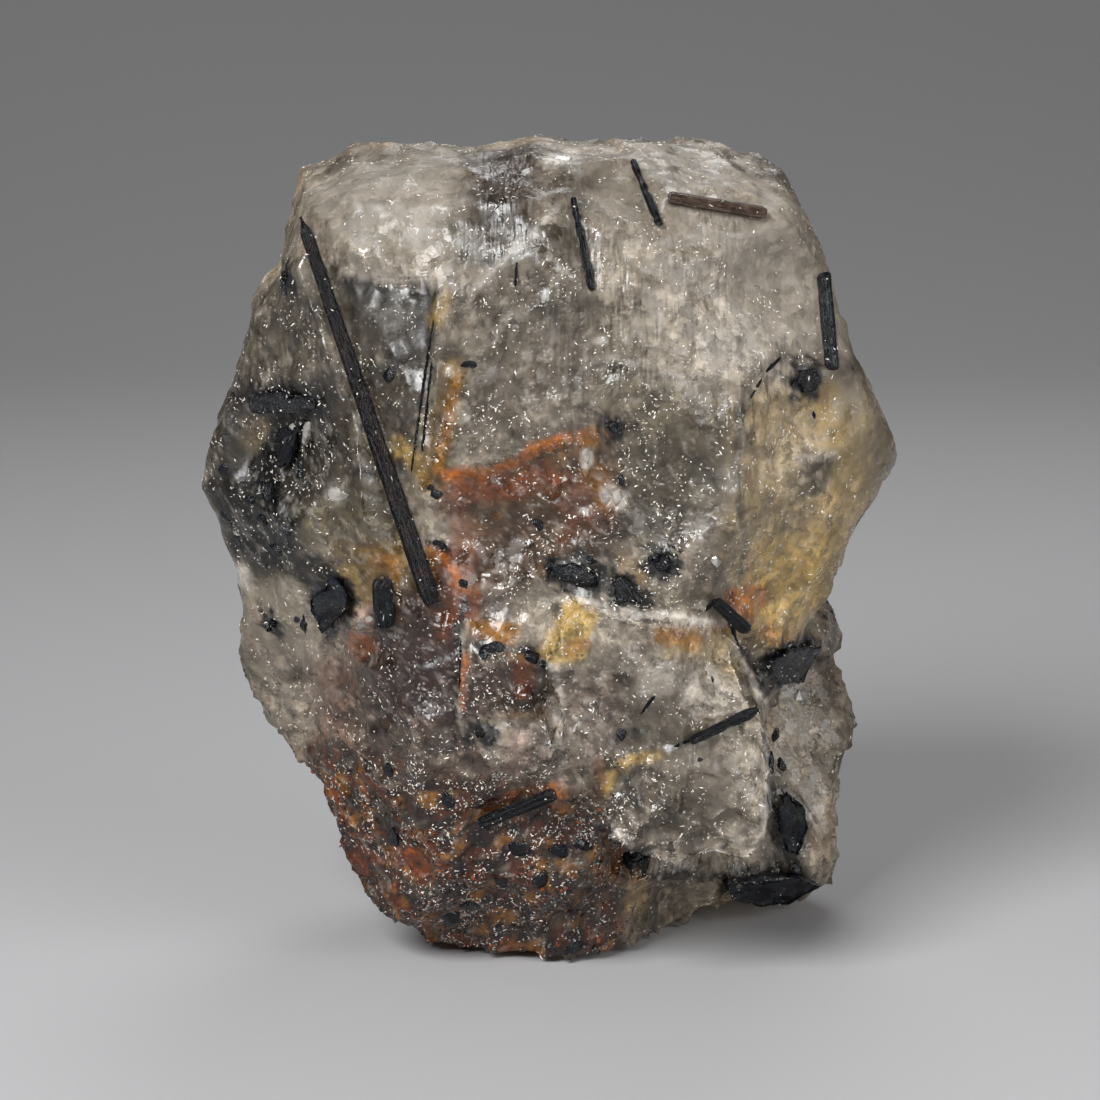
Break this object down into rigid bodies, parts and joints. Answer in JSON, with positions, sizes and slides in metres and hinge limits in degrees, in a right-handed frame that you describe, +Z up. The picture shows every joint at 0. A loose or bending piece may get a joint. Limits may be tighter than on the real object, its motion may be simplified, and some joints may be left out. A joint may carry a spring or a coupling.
{
  "type": "tourmalinated quartz specimen",
  "caption": "Worn lump of milky quartz with black tourmaline rods and chunks in its surface, a raised slab, a set-back lobe and a rusty rough foot that it stands on.",
  "frame": {"origin": "on the surface that the stone stands on, under the middle of its box", "axes": "+Z is up through the standing stone, the broad face that the picture shows looks along -Y, and +X is to the right when that face is seen from the front"},
  "size_m": [0.0586, 0.0406, 0.0687],
  "materials": {
    "quartz": "milky see-through quartz with stains and grains, softly worn",
    "tourmaline": "glossy black, striated along its length"
  },
  "bodies": {
    "root": {"quartz": "quartz", "long_needle": "tourmaline", "right_rod": "tourmaline", "top_needle": "tourmaline", "centre_needle": "tourmaline", "brown_rod": "tourmaline", "inner_stub": "tourmaline", "slab_rod": "tourmaline", "slab_needle": "tourmaline", "foot_bar": "tourmaline", "left_bar": "tourmaline", "left_leg": "tourmaline", "left_foot": "tourmaline", "left_chunk": "tourmaline", "centre_bar": "tourmaline", "centre_chunk": "tourmaline", "right_wedge": "tourmaline", "edge_crystal": "tourmaline", "base_crystal": "tourmaline", "right_knob": "tourmaline", "centre_knob": "tourmaline", "orange_knob": "tourmaline", "upper_left_knob": "tourmaline", "lower_left_knob": "tourmaline", "lower_knob": "tourmaline"}
  },
  "joints": []
}
